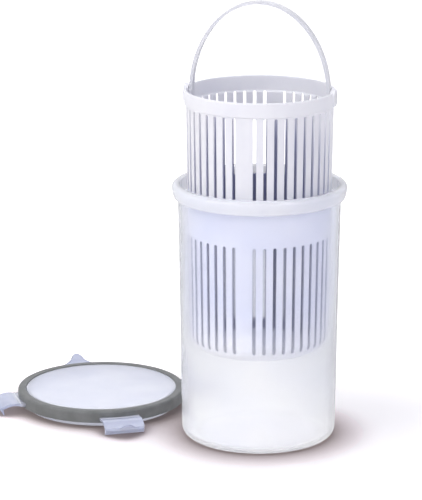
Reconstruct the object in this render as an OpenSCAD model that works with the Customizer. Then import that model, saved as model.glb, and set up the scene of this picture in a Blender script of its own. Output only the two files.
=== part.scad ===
// Pickle keeper with a lift strainer: a frosted tub, a slotted basket that is lifted
// out by a swinging bail, and a sealed lid with four snap flaps laid beside the tub.
// The tub stands on z = 0 round the Z axis, and the bail turns about a line along X.
// All three mouldings are thin polypropylene, and the seal on the lid is soft and grey.

/* [Tub] */
// Height from the table to the crest of the lip
tub_h = 179; // [130:1:240]
// Outer radius of the wall at the bottom
tub_base_r = 53.2; // [46:0.1:62]
// Outer radius of the wall under the lip
tub_top_r = 56; // [50:0.1:64]
// Thickness of the wall
tub_wall = 1.6; // [1:0.1:2.4]
// Thickness of the floor
tub_floor = 1.8; // [1.4:0.1:4]
// Rounding of the outer corner at the base
tub_corner = 6; // [4:0.5:12]
// Height of the foot ring that the tub stands on
foot_h = 0.5; // [0.4:0.1:2]
// Width of the foot ring
foot_w = 4; // [2:0.5:8]

/* [Lip] */
// How far the rolled lip stands out from the wall
lip_out = 4; // [3.4:0.1:7]
// Height of the rolled lip
lip_h = 10; // [8:0.5:14]
// Thickness of the skirt that hangs from the lip
lip_skirt = 1.4; // [1:0.1:1.8]
// How far the skirt draws in towards its lower edge
lip_draw = 1.2; // [0:0.1:1.6]
// Rounding of the outer corner of the crest
crest_round = 3; // [1.5:0.1:3.4]
// Rounding of the inner corner of the crest, at the mouth
mouth_round = 1.2; // [0.6:0.1:1.6]

/* [Strainer basket] */
// How far the rim stands above the lip of the tub when the basket is let down
rim_over = 4.6; // [3:0.1:7]
// Thickness of the wall and the bottom
basket_wall = 1.5; // [1:0.1:2.4]
// Gap between the ears on the rim and the wall of the lid that enters the mouth
ear_gap = 0.5; // [0.3:0.1:2]
// Gap between the foot of the basket wall and the tub
foot_gap = 3.9; // [3:0.1:8]
// Height of the rim band
rim_h = 10.4; // [8:0.1:16]
// Thickness of the rim band
rim_t = 1.9; // [1.4:0.1:2.6]
// How far the rim band stands out from the wall below it
rim_step = 1.3; // [0.6:0.1:2]
// Rounding between the wall and the bottom
basket_round = 12; // [8:0.5:20]
// How far the basket is held up out of the tub
basket_lift = 60; // [0:1:180]

/* [Slots] */
// Groups of slots round the wall, each with a solid rib beside it
slot_groups = 4; // [4:4:8]
// Slots in each group
group_slots = 10; // [3:1:10]
// Width of a slot
slot_w = 2.3; // [1.6:0.1:3.4]
// Length of the upper row of slots
upper_slot_len = 58.8; // [20:0.2:70]
// Height of the plain band between the two rows
tier_band = 29.3; // [10:0.1:40]
// Height of the lower ends of the slots above the underside
slot_foot = 6.8; // [6:0.1:20]
// Radial slots in the bottom of the basket
drain_slots = 16; // [6:1:18]
// Inner end of the drain slots, from the axis
drain_in_r = 11; // [9:0.5:16]

/* [Bail] */
// Height of the top of the bail above the basket rim
bail_rise = 60; // [40:1:90]
// Thickness of the strap
strap_t = 2.2; // [1.6:0.1:3]
// Width of the strap
strap_w = 7; // [5:0.5:10]
// How far the round boss at each end stands out past the strap
boss_over = 1; // [0.4:0.1:1.5]
// Radius of the pins that the bail turns on
pin_r = 2; // [1.4:0.1:2.6]
// Running clearance round each pin
pin_clear = 0.06; // [0.02:0.01:0.1]
// Depth of the pin axis below the top of the rim
pivot_drop = 4; // [3.4:0.1:6]
// Radius of the ears that carry the pins
ear_r = 6; // [5:0.5:7]
// How far the ears stand out from the rim band
ear_out = 0.8; // [0.4:0.1:1.2]
// Side clearance between the strap and the ears
side_clear = 0.3; // [0.2:0.05:0.6]

/* [Lid] */
// Thickness of the panel and of the wall that enters the mouth
panel_t = 1.2; // [0.8:0.1:1.4]
// How far the panel lies below the top of the seal ring
panel_drop = 0.5; // [0.2:0.1:1]
// Depth that the lid reaches into the mouth
plug_depth = 4; // [3:0.5:6]
// Clearance between the lid and the mouth of the tub
plug_clear = 0.4; // [0.2:0.05:0.8]
// Thickness of the flange inside the seal ring
flange_t = 2; // [1.6:0.1:2.2]
// Height of the flange above the crest of the lip
flange_z = 2; // [1.4:0.1:2.6]
// Direction from the tub to the lid that lies beside it, in degrees from +X
lid_bearing = 163; // [120:1:240]
// Gap between the lip of the tub and that lid
lid_gap = 10; // [6:1:80]

/* [Snap flaps] */
// Width of a flap
flap_w = 28; // [20:0.5:36]
// Length of the tongue below the hook, for the thumb
flap_tail = 9.4; // [6:0.2:14]
// Thickness of a flap
flap_t = 1.7; // [1.3:0.1:2]
// How far the tip of a flap turns out
flap_flare = 7.5; // [3:0.5:10]
// How far the hook reaches in under the lip
hook_grip = 3.1; // [2.4:0.1:3.4]
// Width of the rounded tip
tip_w = 11; // [8:0.5:18]
// Radius of the rolled edge that the flap turns on
hinge_r = 1.1; // [1:0.05:1.3]

/* [Hidden] */

// Clearances of the fits
seat_clear = 0.3;
seal_clear = 0.1;
hinge_clear = 0.1;
hook_clear = 0.2;
lug_clear = 0.2;
panel_clear = 0.2;

// Tub
floor_z = foot_h + tub_floor;
mouth_r = tub_top_r - tub_wall;
lip_r = tub_top_r + lip_out;
skirt_top_z = tub_h - crest_round;
hollow_r = (lip_out - lip_skirt) / 2;
hollow_z = tub_h - tub_wall - hollow_r;

// Wall of the lid that enters the mouth
plug_r = mouth_r - plug_clear;
plug_in_r = plug_r - panel_t;

// Basket, which stands on the floor of the tub when it is let down
basket_h = tub_h + rim_over - floor_z - seat_clear;
basket_z = floor_z + seat_clear + basket_lift;
rim_r = plug_in_r - ear_gap - ear_out;
rim_in_r = rim_r - rim_t;
basket_top_r = rim_r - rim_step;
basket_base_r = tub_base_r - tub_wall - foot_gap;
slot_pitch = 360 / (slot_groups * (group_slots + 1));
rim_land = 0.6;
upper_top_z = basket_h - rim_h - rim_land;
upper_foot_z = upper_top_z - upper_slot_len;
lower_top_z = upper_foot_z - tier_band;
drain_out_r = basket_base_r - basket_round - slot_w;

// Bail
pivot_z = basket_h - pivot_drop;
ear_in_x = sqrt(rim_in_r * rim_in_r - ear_r * ear_r) - side_clear;
ear_out_x = rim_r + ear_out;
strap_out_x = ear_in_x - side_clear;
strap_out_z = pivot_drop + bail_rise;
boss_r = strap_w / 2 + boss_over;

// Lid, measured from the crest of the lip that it closes, with room below its panel
// for the rim and the ears of the basket
ear_over = max(ear_r - pivot_drop, 0);
panel_z = rim_over + ear_over + panel_clear;
panel_top_z = panel_z + panel_t;
ring_h = panel_top_z + panel_drop;
ring_wall = 0.8;
ring_r = lip_r;
flange_r = ring_r - ring_wall;
lid_distance = lip_r + lid_gap + ring_r;
lid_turn = lid_bearing + 45;

// Flaps, measured from the hinge line of a closed flap, with the hook below the lip
hinge_x = ring_r + hinge_r + seat_clear;
hinge_z = flange_z + flange_t / 2;
hook_x = ring_r - hook_grip - hinge_x;
hook_z = -lip_h - hook_clear - hinge_z;
hook_tip_z = hook_z - hook_clear;
hook_h = 2.4;
flap_len = hook_h + flap_tail - hook_z;
flap_bulge = 1.6;

// Angle at which the hook of an open flap comes down to the table beside the lid
hook_reach = norm([hook_x, hook_tip_z]);
flap_splay = atan2(-hook_x, -hook_tip_z)
    + acos((plug_depth + hinge_z - seat_clear) / hook_reach);

// Points along an arc, from one angle to another
function arc(x, y, r, from, to, steps = 8) = [
    for (i = [0:steps])
        let (a = from + (to - from) * i / steps)
        [x + r * cos(a), y + r * sin(a)]
];

// Down one face of the skirt that hangs from the lip, which draws in towards its edge
function skirt(from_r, from_z, to_z, steps = 6) = [
    for (i = [0:steps])
        let (t = i / steps)
        [from_r - lip_draw * t * t, from_z + (to_z - from_z) * t]
];

function reversed(points) = [for (i = [len(points) - 1:-1:0]) points[i]];

// A slot with round ends, lying along the profile's Y from one height to another
module slot_outline(from, to) {
    translate([-slot_w / 2, from + slot_w / 2])
        square([slot_w, to - from - slot_w]);
    for (end = [from + slot_w / 2, to - slot_w / 2])
        translate([0, end]) circle(d = slot_w, $fn = 24);
}

// Stands a flat outline up, facing along X, and gives it depth between two distances
module facing_x(near, far) {
    translate([near, 0, 0])
        rotate([90, 0, 90])
            linear_extrude(height = far - near) children();
}

// Stands a flat outline up in the XZ plane, centred on it, and gives it a width
module across_y(width) {
    rotate([90, 0, 0])
        linear_extrude(height = width, center = true) children();
}

// ---------- tub ----------

module tub() {
    inner_corner = max(tub_corner - tub_wall, 1);
    base_flat_r = tub_base_r - tub_corner;
    foot_in_r = base_flat_r - foot_w;
    edge_r = lip_skirt / 2;
    edge_z = tub_h - lip_h + edge_r;
    color([0.90, 0.90, 0.97, 0.45])
        rotate_extrude($fn = 120)
            polygon(concat(
                // underside, foot ring and outer corner
                [[0, foot_h], [foot_in_r - foot_h, foot_h], [foot_in_r, 0]],
                arc(base_flat_r, tub_corner, tub_corner, -90, 0),
                // up the wall, over the hollow of the rolled lip and down inside the skirt
                arc(tub_top_r + hollow_r, hollow_z, hollow_r, 180, 0, 6),
                skirt(lip_r - lip_skirt, hollow_z, edge_z),
                // round the lower edge of the skirt and up its outside
                arc(lip_r - lip_draw - edge_r, edge_z, edge_r, 190, 350, 5),
                reversed(skirt(lip_r, skirt_top_z, edge_z)),
                // over the crest into the mouth
                arc(lip_r - crest_round, skirt_top_z, crest_round, 10, 90, 6),
                arc(mouth_r + mouth_round, tub_h - mouth_round, mouth_round, 90, 180, 4),
                // down the inside to the floor
                arc(base_flat_r, floor_z + inner_corner, inner_corner, 0, -90),
                [[0, floor_z]]
            ));
}

// ---------- strainer basket ----------

module basket_shell() {
    inner_round = basket_round - basket_wall;
    round_x = basket_base_r - basket_round;
    edge = (rim_r - rim_in_r) / 2;
    rotate_extrude($fn = 120)
        polygon(concat(
            [[0, 0]],
            arc(round_x, basket_round, basket_round, -90, 0, 10),
            // the wall leans out to the rim band, which has a lead-in below
            [[basket_top_r, basket_h - rim_h], [rim_r, basket_h - rim_h + rim_step / 2]],
            arc(rim_r - edge, basket_h - edge, edge, 0, 180),
            [[rim_in_r, basket_h - rim_h], [basket_top_r - basket_wall, basket_h - rim_h - rim_step]],
            arc(round_x, basket_round, inner_round, 0, -90, 10),
            [[0, basket_wall]]
        ));
}

// One row of slots round the wall, with a solid rib between the groups
module slot_row(from, to) {
    for (g = [0:slot_groups - 1])
        for (s = [1:group_slots])
            rotate([0, 0, (g * (group_slots + 1) + s) * slot_pitch])
                facing_x(basket_base_r - basket_round, rim_r + 1)
                    slot_outline(from, to);
}

module drain_row() {
    for (i = [0:drain_slots - 1])
        rotate([0, 0, (i + 0.5) * 360 / drain_slots - 90])
            translate([0, 0, -1])
                linear_extrude(height = basket_wall + 2)
                    slot_outline(drain_in_r, drain_out_r);
}

// An ear on the rim at each end of the pivot line
module ear() {
    facing_x(ear_in_x, ear_out_x) {
        translate([0, pivot_z]) circle(r = ear_r, $fn = 48);
        translate([-ear_r, basket_h - rim_h + rim_step])
            square([2 * ear_r, rim_h - rim_step - pivot_drop]);
    }
}

module strainer_basket() {
    color([0.96, 0.96, 0.99])
        translate([0, 0, basket_z])
            difference() {
                union() {
                    basket_shell();
                    for (side = [0, 180]) rotate([0, 0, side]) ear();
                }
                slot_row(upper_foot_z, upper_top_z);
                slot_row(slot_foot, lower_top_z);
                drain_row();
                translate([0, 0, pivot_z])
                    rotate([0, 90, 0])
                        cylinder(r = pin_r + pin_clear, h = 3 * rim_r, center = true, $fn = 48);
            }
}

// ---------- bail ----------

// Half of an upright oval, as points from one foot to the other
function oval(half, rise, from, to, steps = 44) = [
    for (i = [0:steps])
        let (a = from + (to - from) * i / steps)
        [half * cos(a), rise * sin(a)]
];

module bail_handle() {
    color([0.97, 0.97, 1.0])
        translate([0, 0, basket_z + pivot_z]) {
            across_y(strap_w)
                polygon(concat(
                    oval(strap_out_x, strap_out_z, 0, 180),
                    oval(strap_out_x - strap_t, strap_out_z - strap_t, 180, 0)
                ));
            for (side = [0, 180])
                rotate([0, 0, side])
                    translate([strap_out_x - strap_t, 0, 0])
                        rotate([0, 90, 0]) {
                            cylinder(r = boss_r, h = strap_t, $fn = 48);
                            cylinder(r = pin_r, h = ear_out_x - strap_out_x + strap_t, $fn = 48);
                        }
        }
}

// ---------- lid ----------

// Carries the lid's own frame, with the crest of the lip at zero, to its place
module place_lid() {
    rotate([0, 0, lid_bearing])
        translate([lid_distance, 0, plug_depth])
            rotate([0, 0, lid_turn - lid_bearing])
                children();
}

module on_each_side() {
    for (i = [0:3]) rotate([0, 0, 90 * i]) children();
}

// Lug that reaches out through the seal ring and ends in a hollow for the flap's edge
module hinge_lug() {
    difference() {
        translate([plug_r, -flap_w / 2, flange_z])
            cube([hinge_x - plug_r, flap_w, flange_t]);
        translate([hinge_x, 0, hinge_z])
            rotate([90, 0, 0])
                cylinder(r = hinge_r + hinge_clear, h = flap_w + 2, center = true, $fn = 32);
    }
}

module lid_cover() {
    fillet = 1.5;
    lead_in = 0.6;
    color([0.88, 0.89, 0.95, 0.5])
        place_lid() {
            rotate_extrude($fn = 120)
                polygon(concat(
                    [[0, panel_z]],
                    arc(plug_in_r - fillet, panel_z - fillet, fillet, 90, 0, 4),
                    [
                        [plug_in_r, -plug_depth],
                        [plug_r - lead_in, -plug_depth],
                        [plug_r, -plug_depth + 2 * lead_in],
                        [plug_r, flange_z],
                        [flange_r, flange_z],
                        [flange_r, flange_z + flange_t],
                        [plug_r, flange_z + flange_t]
                    ],
                    arc(plug_r - lead_in, panel_top_z - lead_in, lead_in, 0, 90, 3),
                    [[0, panel_top_z]]
                ));
            on_each_side() hinge_lug();
        }
}

module lid_seal_ring() {
    in_r = plug_r + seal_clear;
    groove_r = flange_r + seal_clear;
    groove_z = flange_z - seal_clear;
    groove_top_z = flange_z + flange_t + seal_clear;
    top_round = 1.6;
    foot_round = 0.6;
    color([0.33, 0.33, 0.31])
        place_lid()
            difference() {
                rotate_extrude($fn = 120)
                    polygon(concat(
                        [[in_r, 0]],
                        arc(ring_r - foot_round, foot_round, foot_round, -90, 0, 4),
                        arc(ring_r - top_round, ring_h - top_round, top_round, 0, 90, 5),
                        arc(in_r + foot_round, ring_h - foot_round, foot_round, 90, 180, 4),
                        [
                            [in_r, groove_top_z],
                            [groove_r, groove_top_z],
                            [groove_r, groove_z],
                            [in_r, groove_z]
                        ]
                    ));
                on_each_side()
                    translate([in_r, -flap_w / 2 - lug_clear, groove_z])
                        cube([ring_r, flap_w + 2 * lug_clear, groove_top_z - groove_z]);
            }
}

// ---------- snap flaps ----------

// Middle of the flap seen from its side: out, in to the hook and out again at the tip
function flap_x(s) = flap_bulge * sin(360 * s) + flap_flare * pow(s, 3);

module flap_side() {
    steps = 20;
    polygon(concat(
        [for (i = [0:steps]) [flap_x(i / steps) - flap_t / 2, -flap_len * i / steps]],
        [for (i = [steps:-1:0]) [flap_x(i / steps) + flap_t / 2, -flap_len * i / steps]]
    ));
}

module flap_hook() {
    back_x = flap_x(-hook_z / flap_len);
    polygon([
        [back_x, hook_z],
        [hook_x + hook_clear, hook_z],
        [hook_x, hook_tip_z],
        [hook_x + hook_clear, hook_tip_z - hook_clear],
        [back_x, hook_z - hook_h]
    ]);
}

// Front of the flap: a broad plate that draws in to a round tip
module flap_front() {
    shoulder_r = 1.5;
    shoulder_x = flap_w / 2 - shoulder_r;
    shoulder_z = hook_z - hook_h + shoulder_r;
    tip_r = tip_w / 2;
    tip_z = -flap_len + tip_r;
    polygon(concat(
        [[-flap_w / 2, hinge_r]],
        arc(-shoulder_x, shoulder_z, shoulder_r, 180, 240, 4),
        arc(0, tip_z, tip_r, 200, 340, 10),
        arc(shoulder_x, shoulder_z, shoulder_r, 300, 360, 4),
        [[flap_w / 2, hinge_r]]
    ));
}

module snap_flap(i) {
    color([0.86, 0.87, 0.94, 0.55])
        place_lid()
            rotate([0, 0, 90 * i])
                translate([hinge_x, 0, hinge_z])
                    rotate([0, -flap_splay, 0]) {
                        intersection() {
                            across_y(flap_w) {
                                flap_side();
                                flap_hook();
                            }
                            facing_x(-flap_len, flap_len) flap_front();
                        }
                        rotate([90, 0, 0])
                            cylinder(r = hinge_r, h = flap_w, center = true, $fn = 32);
                    }
}

module snap_flap_1() { snap_flap(0); }
module snap_flap_2() { snap_flap(1); }
module snap_flap_3() { snap_flap(2); }
module snap_flap_4() { snap_flap(3); }

tub();
strainer_basket();
bail_handle();
lid_cover();
lid_seal_ring();
snap_flap_1();
snap_flap_2();
snap_flap_3();
snap_flap_4();
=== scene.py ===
import math

import bpy
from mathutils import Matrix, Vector

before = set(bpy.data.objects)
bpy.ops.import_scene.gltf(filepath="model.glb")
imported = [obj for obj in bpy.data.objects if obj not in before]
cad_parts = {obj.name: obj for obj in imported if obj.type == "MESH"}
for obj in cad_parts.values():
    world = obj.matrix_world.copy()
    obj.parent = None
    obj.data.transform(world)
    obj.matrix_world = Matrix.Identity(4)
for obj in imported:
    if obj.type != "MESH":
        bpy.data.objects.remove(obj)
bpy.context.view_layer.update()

# ---------- the camera ----------
# A long lens stands a good way off and a little above the keeper, so the round mouths
# show as shallow ovals. It is turned a few degrees off the plane of the bail.

MM = 0.001
camera_turn = math.radians(13.2)
camera_tilt = math.radians(14.64)
camera_distance = 1785.6 * MM
camera_aim = Vector((-32.2, -7.6, 130.9)) * MM

camera = bpy.data.objects.new("camera", bpy.data.cameras.new("camera"))
camera.data.sensor_width = 36
camera.data.lens = 187.2
camera.data.clip_start = 0.1
camera.data.clip_end = 30
toward_camera = Vector((
    math.sin(camera_turn) * math.cos(camera_tilt),
    -math.cos(camera_turn) * math.cos(camera_tilt),
    math.sin(camera_tilt),
))
camera.location = camera_aim + toward_camera * camera_distance
camera.rotation_euler = toward_camera.to_track_quat("Z", "Y").to_euler()
bpy.context.scene.collection.objects.link(camera)
bpy.context.scene.camera = camera

# ---------- the studio ----------
# A sheet of white paper lies under the keeper and runs off to a white surround. A wide
# softbox stands on the left of the camera, a weaker one on its right, one hangs overhead
# and one behind keeps the back of the keeper from going dull.


def linear(hex_colour):
    """An sRGB hex colour as linear red, green, blue and an alpha of one."""
    channels = [int(hex_colour[i:i + 2], 16) / 255 for i in (1, 3, 5)]
    return tuple(
        c / 12.92 if c <= 0.04045 else ((c + 0.055) / 1.055) ** 2.4 for c in channels
    ) + (1.0,)


def add(owner, kind, inputs=(), **settings):
    """Adds a node to a material or world. A value in inputs that is a socket is linked."""
    made = owner.node_tree.nodes.new(kind)
    for name, value in settings.items():
        setattr(made, name, value)
    for name, value in dict(inputs).items():
        if isinstance(value, bpy.types.NodeSocket):
            owner.node_tree.links.new(value, made.inputs[name])
        else:
            made.inputs[name].default_value = value
    return made


def softbox(name, turn, tilt, distance, side, watts, tint):
    """A square lamp that faces the keeper, from so many degrees round it and above it."""
    lamp = bpy.data.lights.new(name, "AREA")
    lamp.size = side
    lamp.energy = watts
    lamp.color = linear(tint)[:3]
    holder = bpy.data.objects.new(name, lamp)
    turn, tilt = math.radians(turn), math.radians(tilt)
    away = Vector((
        math.sin(turn) * math.cos(tilt),
        -math.cos(turn) * math.cos(tilt),
        math.sin(tilt),
    ))
    holder.location = Vector((0, 0, 0.12)) + away * distance
    holder.rotation_euler = away.to_track_quat("Z", "Y").to_euler()
    bpy.context.scene.collection.objects.link(holder)
    return holder


softbox("key_softbox", turn=-50, tilt=32, distance=2.0, side=1.5, watts=18.5, tint="#FFFEFC")
softbox("fill_softbox", turn=44, tilt=22, distance=2.4, side=1.5, watts=14.0, tint="#F6F6FF")
softbox("top_softbox", turn=10, tilt=84, distance=1.8, side=1.5, watts=7.0, tint="#FFFFFF")
softbox("back_softbox", turn=190, tilt=35, distance=2.6, side=1.5, watts=7.0, tint="#F8F8FF")

world = bpy.data.worlds.new("white_surround")
world.use_nodes = True
world.node_tree.nodes.clear()
ray = add(world, "ShaderNodeLightPath")
seen = add(world, "ShaderNodeMath", {
    0: ray.outputs["Is Camera Ray"], 1: ray.outputs["Is Glossy Ray"],
}, operation="MAXIMUM")
seen = add(world, "ShaderNodeMath", {
    0: seen.outputs[0], 1: ray.outputs["Is Transmission Ray"],
}, operation="MAXIMUM")
ambient = add(world, "ShaderNodeBackground", {"Color": linear("#EFF0FB"), "Strength": 0.42})
white = add(world, "ShaderNodeBackground", {"Color": (1, 1, 1, 1), "Strength": 1.0})
both = add(world, "ShaderNodeMixShader", {
    0: seen.outputs[0], 1: ambient.outputs[0], 2: white.outputs[0],
})
add(world, "ShaderNodeOutputWorld", {"Surface": both.outputs[0]})
bpy.context.scene.world = world

paper_side = 6.0
paper_mesh = bpy.data.meshes.new("paper_floor")
paper_mesh.from_pydata(
    [(x * paper_side, y * paper_side, 0) for x, y in ((-1, -1), (1, -1), (1, 1), (-1, 1))],
    [], [(0, 1, 2, 3)],
)
paper_floor = bpy.data.objects.new("paper_floor", paper_mesh)
bpy.context.scene.collection.objects.link(paper_floor)

# Matt white paper. The rays that make the picture see it a little whiter than the lamps
# leave it, and quite white a third of a metre out, which keeps the keeper's shadow. Rays
# that come through clear plastic or off a gloss see plain white, as in the surround.
paper = bpy.data.materials.new("paper_matt_white")
paper.use_nodes = True
paper.node_tree.nodes.clear()
# painted shadow: the paper's colour, and its glow with it, darkens by ambient occlusion in the
# corner under a wall that stands on it
shadow_occlusion = add(paper, "ShaderNodeAmbientOcclusion", {"Distance": 36 * MM}, samples=16)
painted_shade = add(paper, "ShaderNodeValToRGB", {"Fac": shadow_occlusion.outputs["AO"]})
painted_shade.color_ramp.elements[0].position = 0.28
painted_shade.color_ramp.elements[0].color = linear("#8A7F7D")
painted_shade.color_ramp.elements[1].position = 0.99
painted_shade.color_ramp.elements[1].color = linear("#FDFBFB")
for open_share, painted_shadow_tone in ((0.54, "#9C9191"), (0.74, "#D2C9CA"), (0.92, "#F7F2F3")):
    painted_shade.color_ramp.elements.new(open_share).color = linear(painted_shadow_tone)
sheet = add(paper, "ShaderNodeBsdfDiffuse", {"Color": painted_shade.outputs["Color"]})
spot = add(paper, "ShaderNodeTexCoord").outputs["Object"]
away = add(paper, "ShaderNodeVectorMath", {0: spot}, operation="LENGTH")
lift = add(paper, "ShaderNodeMapRange", {
    "Value": away.outputs["Value"], "From Min": 70 * MM, "From Max": 340 * MM,
    "To Min": 0.22, "To Max": 1.0,
}, interpolation_type="SMOOTHSTEP")
glow = add(paper, "ShaderNodeEmission", {
    "Color": painted_shade.outputs["Color"], "Strength": lift.outputs[0],
})
lifted = add(paper, "ShaderNodeAddShader", {0: sheet.outputs[0], 1: glow.outputs[0]})
ray = add(paper, "ShaderNodeLightPath")
direct = add(paper, "ShaderNodeMixShader", {
    0: ray.outputs["Is Camera Ray"], 1: sheet.outputs[0], 2: lifted.outputs[0],
})
through = add(paper, "ShaderNodeMath", {
    0: ray.outputs["Is Glossy Ray"], 1: ray.outputs["Is Transmission Ray"],
}, operation="MAXIMUM")
white = add(paper, "ShaderNodeEmission", {"Color": (1, 1, 1, 1), "Strength": 1.0})
both = add(paper, "ShaderNodeMixShader", {
    0: through.outputs[0], 1: direct.outputs[0], 2: white.outputs[0],
})
add(paper, "ShaderNodeOutputMaterial", {"Surface": both.outputs[0]})
paper_mesh.materials.append(paper)

# ---------- the tub ----------
# One deep injection moulding in natural polypropylene. The mould is finely blasted, which
# frosts the wall: the basket shows as through thin milk, and the foot is nearly white.


def bare_material(name):
    """A material with no nodes in it yet."""
    made = bpy.data.materials.new(name)
    made.use_nodes = True
    made.node_tree.nodes.clear()
    return made


def moulded_grain(owner, place, pitch, depth, strength):
    """The texture that a blasted mould leaves on plastic, as a normal. Its real pitch is
    about 0.1 mm, and every piece draws it near 1 mm, so that it shows."""
    grain = add(owner, "ShaderNodeTexNoise", {"Vector": place, "Scale": 1 / pitch, "Detail": 2.0})
    return add(owner, "ShaderNodeBump", {
        "Height": grain.outputs["Fac"], "Strength": strength, "Distance": depth,
    }).outputs["Normal"]


def cloudy(owner, place, size, dull, bright):
    """A colour that drifts between two over patches of a size, as resin does in a mould."""
    cloud = add(owner, "ShaderNodeTexNoise", {"Vector": place, "Scale": 1 / size, "Detail": 3.0})
    tone = add(owner, "ShaderNodeValToRGB", {"Fac": cloud.outputs["Fac"]})
    tone.color_ramp.elements[0].position = 0.35
    tone.color_ramp.elements[0].color = linear(dull)
    tone.color_ramp.elements[1].position = 0.65
    tone.color_ramp.elements[1].color = linear(bright)
    return tone.outputs["Color"]


def let_lamps_through(owner, body, colour):
    """Ends a see-through material. Lamps shine through it, and take its colour."""
    ray = add(owner, "ShaderNodeLightPath")
    through = add(owner, "ShaderNodeBsdfTransparent", {"Color": colour})
    both = add(owner, "ShaderNodeMixShader", {
        0: ray.outputs["Is Shadow Ray"], 1: body.outputs[0], 2: through.outputs[0],
    })
    add(owner, "ShaderNodeOutputMaterial", {"Surface": both.outputs[0]})


tub_h = 179 * MM
milky_up_to = 54 * MM
clear_from = 98 * MM
under_lip = 168.3 * MM
in_lip = 169.3 * MM

frosted = bare_material("polypropylene_natural_frosted")
place = add(frosted, "ShaderNodeTexCoord").outputs["Object"]
grain = moulded_grain(frosted, place, pitch=0.8 * MM, depth=0.02 * MM, strength=0.12)
# the core draws upright streaks down the wall as it leaves it, some 3 mm apart
drawn = add(frosted, "ShaderNodeVectorMath", {0: place, 1: (1, 1, 0.03)}, operation="MULTIPLY")
streak = add(frosted, "ShaderNodeTexNoise", {
    "Vector": drawn.outputs[0], "Scale": 1 / (3 * MM), "Detail": 2.0,
})
gloss = add(frosted, "ShaderNodeMapRange", {
    "Value": streak.outputs["Fac"], "From Min": 0.3, "From Max": 0.7,
    "To Min": 0.10, "To Max": 0.20,
})
height = add(frosted, "ShaderNodeSeparateXYZ", {"Vector": place}).outputs["Z"]
height = add(frosted, "ShaderNodeMath", {0: height, 1: tub_h}, operation="DIVIDE")
# the foot is frosted most, so that its far side and floor only show as white
frost = add(frosted, "ShaderNodeMapRange", {
    "Value": height.outputs[0], "From Min": milky_up_to / tub_h, "From Max": clear_from / tub_h,
    "To Min": 0.265, "To Max": 0.10,
})
frost = add(frosted, "ShaderNodeMath", {
    0: gloss.outputs[0], 1: frost.outputs[0],
}, operation="MAXIMUM")
# the plastic is clearest where the basket hangs, and milky in the foot and the lip. The
# foot stays above 0.75, under which a false line shows across the wall in a render
clarity = add(frosted, "ShaderNodeValToRGB", {"Fac": height.outputs[0]})
clarity.color_ramp.interpolation = "EASE"
clarity.color_ramp.elements[0].position = 20 * MM / tub_h
clarity.color_ramp.elements[0].color = (0.76, 0.76, 0.76, 1)
clarity.color_ramp.elements[1].position = in_lip / tub_h
clarity.color_ramp.elements[1].color = (0.60, 0.60, 0.60, 1)
for up, clear in ((milky_up_to, 0.77), (clear_from, 0.95), (under_lip, 0.95)):
    clarity.color_ramp.elements.new(up / tub_h).color = (clear, clear, clear, 1)
# painted shade: the wall between the foot and the lip is tinted a faint lilac, and the foot and
# the lip stay white
lilac_shade = add(frosted, "ShaderNodeValToRGB", {"Fac": height.outputs[0]})
lilac_shade.color_ramp.elements[0].position = 60 * MM / tub_h
lilac_shade.color_ramp.elements[0].color = linear("#FFFFFF")
lilac_shade.color_ramp.elements[1].position = in_lip / tub_h
lilac_shade.color_ramp.elements[1].color = linear("#FFFFFF")
for up in (104 * MM, under_lip):
    lilac_shade.color_ramp.elements.new(up / tub_h).color = linear("#F6F7FC")
tint = add(frosted, "ShaderNodeMix", {
    0: 1.0, 6: cloudy(frosted, place, 38 * MM, "#F7F8FC", "#FCFCFD"), 7: lilac_shade.outputs["Color"],
}, data_type="RGBA", blend_type="MULTIPLY")
# the index is matched below polypropylene's 1.49, at which the edges came out too grey
body = add(frosted, "ShaderNodeBsdfPrincipled", {
    "Base Color": tint.outputs[2], "Roughness": frost.outputs[0], "IOR": 1.25,
    "Transmission Weight": clarity.outputs["Color"], "Normal": grain,
})
# lamps light the empty foot of the tub from all sides, and the basket shades it higher up
passed = add(frosted, "ShaderNodeValToRGB", {"Fac": height.outputs[0]})
passed.color_ramp.interpolation = "EASE"
passed.color_ramp.elements[0].position = 52 * MM / tub_h
passed.color_ramp.elements[0].color = (1, 1, 1, 1)
passed.color_ramp.elements[1].position = 96 * MM / tub_h
passed.color_ramp.elements[1].color = (0.70, 0.715, 0.785, 1)
let_lamps_through(frosted, body, passed.outputs["Color"])
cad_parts["tub"].material_slots[0].material = frosted

# ---------- the strainer basket ----------
# One injection moulding in white polypropylene with a satin finish. It hangs on its bail
# over the tub, and its slots let the liquid run back.

below_rim = 224 * MM
deep_inside = 120 * MM

white_plastic = bare_material("polypropylene_white_satin")
place = add(white_plastic, "ShaderNodeTexCoord").outputs["Object"]
# painted shade: the colour of the basket's inside faces darkens the deeper they lie below the rim
facing = add(white_plastic, "ShaderNodeTexCoord").outputs["Normal"]
spoke = add(white_plastic, "ShaderNodeVectorMath", {0: place, 1: (1, 1, 0)}, operation="MULTIPLY")
spoke = add(white_plastic, "ShaderNodeVectorMath", {0: spoke.outputs[0]}, operation="NORMALIZE")
outward = add(white_plastic, "ShaderNodeVectorMath", {
    0: facing, 1: spoke.outputs[0],
}, operation="DOT_PRODUCT")
inward = add(white_plastic, "ShaderNodeMapRange", {
    "Value": outward.outputs["Value"], "From Min": 0.35, "From Max": -0.35,
})
height = add(white_plastic, "ShaderNodeSeparateXYZ", {"Vector": place}).outputs["Z"]
depth = add(white_plastic, "ShaderNodeMapRange", {
    "Value": height, "From Min": below_rim, "From Max": deep_inside,
})
painted_shade = add(white_plastic, "ShaderNodeValToRGB", {"Fac": depth.outputs[0]})
painted_shade.color_ramp.elements[0].color = linear("#FFFFFF")
painted_shade.color_ramp.elements[1].color = linear("#7B7FA0")
painted_shade.color_ramp.elements.new(0.24).color = linear("#AEB1C8")
skin = cloudy(white_plastic, place, 24 * MM, "#F1F1F9", "#F6F6FC")
# the resin's cloudy colour, times the painted shade on the inside faces
tone = add(white_plastic, "ShaderNodeMix", {
    0: inward.outputs[0], 6: skin, 7: painted_shade.outputs["Color"],
}, data_type="RGBA", blend_type="MULTIPLY")
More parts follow.
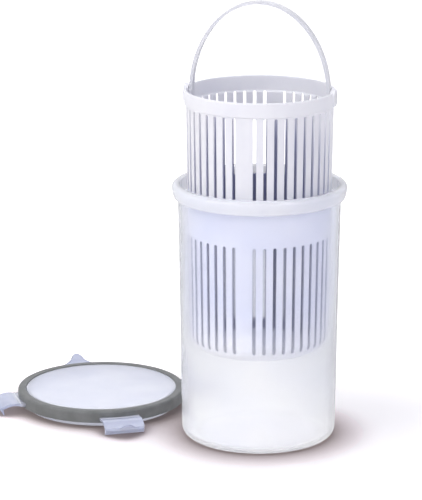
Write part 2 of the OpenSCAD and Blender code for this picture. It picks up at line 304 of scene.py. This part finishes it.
# light spreads a few millimetres inside the thin white walls, which softens their shading
body = add(white_plastic, "ShaderNodeBsdfPrincipled", {
    "Base Color": tone.outputs[2], "Roughness": 0.4, "IOR": 1.49,
    "Subsurface Weight": 0.5, "Subsurface Radius": (1, 1, 1), "Subsurface Scale": 2.5 * MM,
    "Normal": moulded_grain(white_plastic, place, pitch=0.9 * MM, depth=0.02 * MM, strength=0.3),
})
add(white_plastic, "ShaderNodeOutputMaterial", {"Surface": body.outputs[0]})
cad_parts["strainer_basket"].material_slots[0].material = white_plastic

# ---------- the bail ----------
# A thin curved strap moulded in polypropylene with less white in it, so it lets a little
# light through. The pins at its ends snap into the ears of the basket.

milky = bare_material("polypropylene_milky_satin")
place = add(milky, "ShaderNodeTexCoord").outputs["Object"]
body = add(milky, "ShaderNodeBsdfPrincipled", {
    "Base Color": cloudy(milky, place, 14 * MM, "#F0F1F7", "#F8F8FC"),
    "Roughness": 0.3, "IOR": 1.49, "Transmission Weight": 0.25,
    "Normal": moulded_grain(milky, place, pitch=0.9 * MM, depth=0.02 * MM, strength=0.3),
})
add(milky, "ShaderNodeOutputMaterial", {"Surface": body.outputs[0]})
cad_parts["bail_handle"].material_slots[0].material = milky

# ---------- the lid's cover ----------
# The round panel of the lid, with the wall that enters the mouth, a flange and the lugs
# of the hinges, is one moulding in natural polypropylene, glossier than the tub.

glossy = bare_material("polypropylene_natural_glossy")
place = add(glossy, "ShaderNodeTexCoord").outputs["Object"]
body = add(glossy, "ShaderNodeBsdfPrincipled", {
    "Base Color": cloudy(glossy, place, 30 * MM, "#E9ECF8", "#F1F3FC"),
    "Roughness": 0.22, "IOR": 1.49, "Transmission Weight": 0.6,
    "Normal": moulded_grain(glossy, place, pitch=1.2 * MM, depth=0.02 * MM, strength=0.2),
})
let_lamps_through(glossy, body, (0.8, 0.8, 0.84, 1))
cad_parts["lid_cover"].material_slots[0].material = glossy

# ---------- the lid's seal ring ----------
# A soft ring of grey silicone rubber, pressed over the edge of the cover. It is matt, and
# holds a trace of dust, so it reads a little lighter in patches.

rubber = bare_material("silicone_rubber_grey_matt")
place = add(rubber, "ShaderNodeTexCoord").outputs["Object"]
body = add(rubber, "ShaderNodeBsdfPrincipled", {
    "Base Color": cloudy(rubber, place, 9 * MM, "#707271", "#7C7E7D"),
    "Roughness": 0.62, "IOR": 1.41, "Sheen Weight": 0.15, "Sheen Roughness": 0.5,
    "Normal": moulded_grain(rubber, place, pitch=0.7 * MM, depth=0.03 * MM, strength=0.4),
})
add(rubber, "ShaderNodeOutputMaterial", {"Surface": body.outputs[0]})
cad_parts["lid_seal_ring"].material_slots[0].material = rubber

# ---------- the snap flaps ----------
# Four flaps in natural polypropylene hang on hinge lines round the lid and hook under the
# tub's lip. Bending has whitened the plastic along the hinge.

lid_x, lid_y = -124.32 * MM, 38.01 * MM
hinge_r = 61.4 * MM
whitened = 3.5 * MM

flap_plastic = bare_material("polypropylene_natural_flexed")
place = add(flap_plastic, "ShaderNodeTexCoord").outputs["Object"]
from_lid = add(flap_plastic, "ShaderNodeVectorMath", {
    0: place, 1: (lid_x, lid_y, 0),
}, operation="SUBTRACT")
from_lid = add(flap_plastic, "ShaderNodeVectorMath", {
    0: from_lid.outputs[0], 1: (1, 1, 0),
}, operation="MULTIPLY")
from_lid = add(flap_plastic, "ShaderNodeVectorMath", {0: from_lid.outputs[0]}, operation="LENGTH")
bent = add(flap_plastic, "ShaderNodeMapRange", {
    "Value": from_lid.outputs["Value"], "From Min": hinge_r + whitened, "From Max": hinge_r,
}, interpolation_type="SMOOTHSTEP")
skin = cloudy(flap_plastic, place, 12 * MM, "#CBD0E4", "#D6DAEB")
tone = add(flap_plastic, "ShaderNodeMix", {
    0: bent.outputs[0], 6: skin, 7: linear("#F2F3F9"),
}, data_type="RGBA")
body = add(flap_plastic, "ShaderNodeBsdfPrincipled", {
    "Base Color": tone.outputs[2], "Roughness": 0.25, "IOR": 1.49, "Transmission Weight": 0.5,
    "Normal": moulded_grain(flap_plastic, place, pitch=0.8 * MM, depth=0.02 * MM, strength=0.2),
})
let_lamps_through(flap_plastic, body, (0.78, 0.8, 0.86, 1))
for number in range(1, 5):
    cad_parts[f"snap_flap_{number}"].material_slots[0].material = flap_plastic

# ---------- the picture's colours ---------------------------------

bpy.context.scene.view_settings.view_transform = "Standard"
